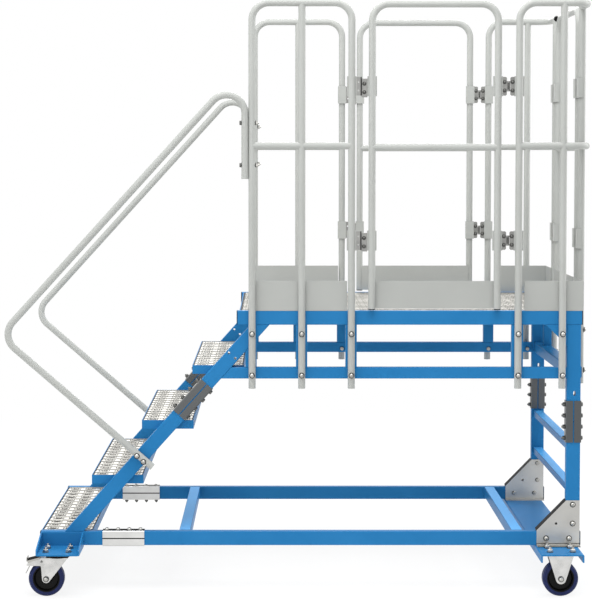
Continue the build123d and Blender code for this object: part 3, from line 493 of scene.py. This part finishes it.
def openingSpots(low, high, top):
    # middles of the openings of one plank, as many each way as fill it
    columns, rows = (round((high[i] - low[i]) / plank["pitch"]) for i in (0, 1))
    stepX, stepY = (high[0] - low[0]) / columns, (high[1] - low[1]) / rows
    return [(low[0] + (i + 0.5) * stepX, low[1] + (j + 0.5) * stepY, top - plank["ridge"])
            for i in range(columns) for j in range(rows)]


inset = treads["sheet"] + treads["gap"]
treadHalf = railIn - inset
spots = []
for x, z in zip(treads["fronts"], treads["tops"]):
    spots += openingSpots((x + inset, -treadHalf), (x + treads["depth"] - inset, treadHalf), z)
deckPitch = (deckHigh[0] - deckLow[0] + deck["gap"]) / deck["planks"]
for i in range(deck["planks"]):
    low = deckLow[0] + i * deckPitch
    spots += openingSpots((low, deckLow[1]), (low + deckPitch - deck["gap"], deckHigh[1]), deckHigh[2])
places = [Matrix.Translation(spot) for spot in spots]
diamond = Matrix.Diagonal((plank["halfX"], plank["halfY"], 1.0, 1.0))  # scales the collar to the opening
collars, teeth = bmesh.new(), bmesh.new()
stamp(collars, collarMesh(), [place @ diamond for place in places])
stamp(teeth, teethMesh(), places)
newPiece("plank_collars", collars, punchedEdge, "frame")
newPiece("plank_teeth", teeth, galvanisedPlank, "frame")

# Painted shade: black strips in the open line round each tread's plank, and one at the front edge of the
# deck, stand for the shade in these gaps
strips = {"low": 0.004, "high": 0.001, "deckEdge": 0.006}
shadeStrips = bmesh.new()
for x, z in zip(treads["fronts"], treads["tops"]):
    start, end = x + treads["sheet"], x + treads["depth"] - treads["sheet"]
    half = railIn - treads["sheet"]
    low, high = z - strips["low"], z - strips["high"]
    for left, right in ((start, start + treads["gap"]), (end - treads["gap"], end)):
        addBox(shadeStrips, (left, -half, low), (right, half, high))
    for side in (-1, 1):
        addSideBox(shadeStrips, side, (start + treads["gap"], end - treads["gap"]), (treadHalf, half), (low, high))
addBox(shadeStrips, (deckLow[0] - strips["deckEdge"], deckLow[1], deckHigh[2] - strips["low"]),
       (deckLow[0], deckHigh[1], deckHigh[2] - strips["high"]))

# Painted shade on the gussets: black strips on their slanted edges, where the gap between the two plates lies
# in shade, and dark lines along their bend and the edge of their foot, where their shadows fall
gussetEdge = {"low": (0.853, 0.215), "high": (0.957, 0.322), "wide": 0.035, "thick": 0.0015, "lift": 0.0}
gussetFoot = {"x": (0.853, 1.006), "out": 0.032, "bend": (0.1665, 0.1685), "rim": (0.1605, 0.1628),
              "thick": 0.0008}
# Painted shade on the base splices: black strips in their open line, and a thin black sheet under the bolt
# heads on top for the dark line there
spliceShadeLines = {"halfLength": 0.0745, "low": 0.183, "high": 0.187, "face": 0.0032, "topLineHalf": 0.012,
             "topLineThick": 0.0008}
spliceX = (splice["baseX"] - spliceShadeLines["halfLength"], splice["baseX"] + spliceShadeLines["halfLength"])
spliceZ = (spliceShadeLines["low"], spliceShadeLines["high"])
for side in (-1, 1):
    addSlantedBox(shadeStrips, gussetEdge["low"], gussetEdge["high"], side * railMid, gussetEdge)
    for y, heights in ((frameY + plate, gussetFoot["bend"]), (frameY + gussetFoot["out"], gussetFoot["rim"])):
        addSideBox(shadeStrips, side, gussetFoot["x"], (y, y + gussetFoot["thick"]), heights)
    addSideBox(shadeStrips, side, spliceX, (frameY, frameY + spliceShadeLines["face"]), spliceZ)
    addSideBox(shadeStrips, side, spliceX, (railIn - spliceShadeLines["face"], railIn), spliceZ)
    addSideBox(shadeStrips, side, spliceX, (railMid - spliceShadeLines["topLineHalf"], railMid + spliceShadeLines["topLineHalf"]),
               (splice["baseTop"], splice["baseTop"] + spliceShadeLines["topLineThick"]))
newPiece("painted_shade_edge_strips", shadeStrips, blackPlasticAndShade, "frame")

# Plugs in the open ends of the corner guard rails
openEnds = {"y": 0.2815, "heights": (2.0875, 1.585), "radius": 0.0102, "sunk": 0.003, "length": 0.010}
plugs = bmesh.new()
for side in (-1, 1):
    for z in openEnds["heights"]:
        addRod(plugs, (rearAxis, side * (openEnds["y"] + openEnds["sunk"]), z),
               (rearAxis, side * (openEnds["y"] + openEnds["length"]), z), openEnds["radius"])
newPiece("rail_end_plugs", plugs, blackPlasticAndShade, "frame")

# Plugs under the gate legs
gateFeet = {"top": 1.008, "length": 0.0035, "radius": 0.0122, "x": (0.262, 0.706), "rearY": (-0.222, 0.222)}
gateLegs = {body: [(x, side * guardY) for x in gateFeet["x"]] for side, body in sideGates}
gateLegs["gate_rear"] = [(rearAxis, y) for y in gateFeet["rearY"]]
for body, legs in gateLegs.items():
    shape = bmesh.new()
    top, bottom = gateFeet["top"], gateFeet["top"] - gateFeet["length"]
    for x, y in legs:
        addRod(shape, (x, y, bottom), (x, y, top), gateFeet["radius"])
    newPiece("foot_plugs_" + body, shape, blackPlasticAndShade, body)

# Black spring in the slot of each hinge knuckle; it turns with the gate
spring = {"pinX": 0.7435, "rearPinY": -0.258, "pinIn": 0.008, "halfThin": 0.0019, "halfWide": 0.0055,
          "halfHigh": 0.0118}
pins = {body: (spring["pinX"], side * (guardY - spring["pinIn"])) for side, body in sideGates}
pins["gate_rear"] = (rearAxis - spring["pinIn"], spring["rearPinY"])
for body, (x, y) in pins.items():
    reachX, reachY, reachZ = spring["halfThin"], spring["halfWide"], spring["halfHigh"]
    if body == "gate_rear":
        reachX, reachY = reachY, reachX
    shape = bmesh.new()
    for z in leaf["heights"]:
        addBox(shape, (x - reachX, y - reachY, z - reachZ), (x + reachX, y + reachY, z + reachZ))
    newPiece("hinge_springs_" + body, shape, blackOxide, body)

# Ribbed rubber pad on each brake pedal
pad = {"low": (-0.951, 0.1272), "high": (-0.910, 0.1381), "wide": 0.042, "thick": 0.0016, "lift": 0.0}
rib = {"count": 4, "wide": 0.004, "thick": 0.0010, "lift": pad["thick"]}
for side, body in frontCastors:
    shape = bmesh.new()
    addSlantedBox(shape, pad["low"], pad["high"], side * castorY, pad)
    for i in range(rib["count"]):
        offset = ((i + 0.5) / rib["count"] - 0.5) * pad["wide"]
        addSlantedBox(shape, pad["low"], pad["high"], side * castorY + offset, rib)
    newPiece("pedal_pad_" + body, shape, blackPlasticAndShade, body)

# Painted shade: a black ring in the gap of each swivel bearing, where its shade falls
bearingShadeRing = {"inner": 0.0395, "outer": 0.044, "low": 0.1395, "high": 0.1518}
bearingShadeProfile = [(bearingShadeRing[radius], bearingShadeRing[height]) for radius, height in (
    ("inner", "low"), ("outer", "low"), ("outer", "high"), ("inner", "high"), ("inner", "low"))]
rings = bmesh.new()
places = [Matrix.Translation((pivotFront, side * castorY, 0)) for side in (-1, 1)]
stamp(rings, turned(bearingShadeProfile, sides=36), places)
newPiece("castor_bearing_painted_shade", rings, blackPlasticAndShade, "frame")
print("planks, seals and plugs fitted")


# Floor, light and camera

floorSheet = {"size": 60.0, "tone": "#F4F4F3", "lift": 0.84, "fadeFrom": 1.6, "fadeTo": 4.0}


def raysThatSee(tree):
    # 1 for the rays that show the background: from the camera, off gloss and through glass
    path = addNode(tree, "ShaderNodeLightPath").outputs
    mirrored = addNode(tree, "ShaderNodeMath", {0: path["Is Glossy Ray"], 1: path["Is Transmission Ray"]},
                       operation="MAXIMUM").outputs["Value"]
    return addNode(tree, "ShaderNodeMath", {0: path["Is Camera Ray"], 1: mirrored},
                   operation="MAXIMUM").outputs["Value"]


def makeFloor():
    material = bpy.data.materials.new("pale_floor")
    material.use_nodes = True
    tree = material.node_tree
    tree.nodes.clear()
    places = addNode(tree, "ShaderNodeTexCoord").outputs["Object"]
    distance = addNode(tree, "ShaderNodeVectorMath", {0: places}, operation="LENGTH").outputs["Value"]
    # seen or mirrored it is mostly plain white, so that the shadow stays faint and is gone further out
    fade = addNode(tree, "ShaderNodeMapRange", {
        "Value": distance, "From Min": floorSheet["fadeFrom"], "From Max": floorSheet["fadeTo"],
        "To Min": floorSheet["lift"]}, interpolation_type="SMOOTHSTEP")
    share = addNode(tree, "ShaderNodeMath", {0: fade.outputs["Result"], 1: raysThatSee(tree)},
                    operation="MULTIPLY")
    matt = addNode(tree, "ShaderNodeBsdfDiffuse", {"Color": linearColour(floorSheet["tone"])})
    white = addNode(tree, "ShaderNodeEmission", {"Color": (1, 1, 1, 1), "Strength": 1.0})
    mixed = addNode(tree, "ShaderNodeMixShader", {
        0: share.outputs["Value"], 1: matt.outputs["BSDF"], 2: white.outputs["Emission"]})
    addNode(tree, "ShaderNodeOutputMaterial", {"Surface": mixed.outputs["Shader"]})
    shape = bmesh.new()
    bmesh.ops.create_grid(shape, x_segments=1, y_segments=1, size=floorSheet["size"] / 2)
    mesh = asMesh("floor", shape)
    mesh.materials.append(material)
    piece = bpy.data.objects.new("floor", mesh)
    bpy.context.scene.collection.objects.link(piece)


def makeLight(name, light):
    # a rectangular lamp that faces its aim
    lamp = bpy.data.lights.new(name, "AREA")
    lamp.shape = "RECTANGLE"
    lamp.size, lamp.size_y = light["size"]
    lamp.energy = light["power"]
    holder = bpy.data.objects.new(name, lamp)
    place, aim = Vector(light["place"]), Vector(light["aim"])
    holder.location = place
    holder.rotation_euler = (aim - place).to_track_quat("-Z", "Y").to_euler()
    bpy.context.scene.collection.objects.link(holder)


softboxes = {
    "softbox_above": {"size": (4.5, 3.0), "power": 210, "place": (-0.2, -1.6, 4.6), "aim": (0, 0, 0.6)},
    "softbox_front": {"size": (4.0, 3.0), "power": 56, "place": (-1.6, -5.8, 1.8), "aim": (0, 0, 0.9)},
    "softbox_right": {"size": (2.5, 3.0), "power": 150, "place": (4.8, 0.8, 2.4), "aim": (0, 0, 1.1)},
    "softbox_left": {"size": (2.5, 3.0), "power": 60, "place": (-4.8, -1.2, 1.8), "aim": (0, 0, 1.1)},
    "softbox_back": {"size": (4.0, 2.5), "power": 220, "place": (0.4, 4.8, 4.4), "aim": (0, 0, 0.5)},
}
makeFloor()
for name, light in softboxes.items():
    makeLight(name, light)

# The world lights the object plainly and is seen as white
surround = {"light": 0.47, "seen": 1.0}
world = bpy.data.worlds.new("white_studio")
bpy.context.scene.world = world
world.use_nodes = True
sky = world.node_tree
sky.nodes.clear()
ambient = addNode(sky, "ShaderNodeBackground", {"Color": (1, 1, 1, 1), "Strength": surround["light"]})
backdrop = addNode(sky, "ShaderNodeBackground", {"Color": (1, 1, 1, 1), "Strength": surround["seen"]})
mixed = addNode(sky, "ShaderNodeMixShader", {
    0: raysThatSee(sky), 1: ambient.outputs["Background"], 2: backdrop.outputs["Background"]})
addNode(sky, "ShaderNodeOutputWorld", {"Surface": mixed.outputs["Shader"]})

# Camera tilted a little down; the rest of the framing is a small shift, as in the photograph
view = {"place": (-0.0843, -6.541, 1.553), "tilt": 2.5, "focalPixels": 1726.5, "axisPixel": (274.0, 230.3),
        "image": (592.0, 600.0), "sensor": 36.0}
lens = bpy.data.cameras.new("camera")
lens.sensor_fit = "VERTICAL"
lens.sensor_height = view["sensor"]
lens.sensor_width = view["sensor"]
lens.lens = view["focalPixels"] / view["image"][1] * view["sensor"]
lens.shift_x = (view["image"][0] / 2 - view["axisPixel"][0]) / view["image"][1]
lens.shift_y = (view["axisPixel"][1] - view["image"][1] / 2) / view["image"][1]
camera = bpy.data.objects.new("camera", lens)
camera.location = view["place"]
camera.rotation_euler = (math.radians(90 - view["tilt"]), 0, 0)
bpy.context.scene.collection.objects.link(camera)
bpy.context.scene.camera = camera
bpy.context.scene.view_settings.view_transform = "Standard"

print("scene ready")
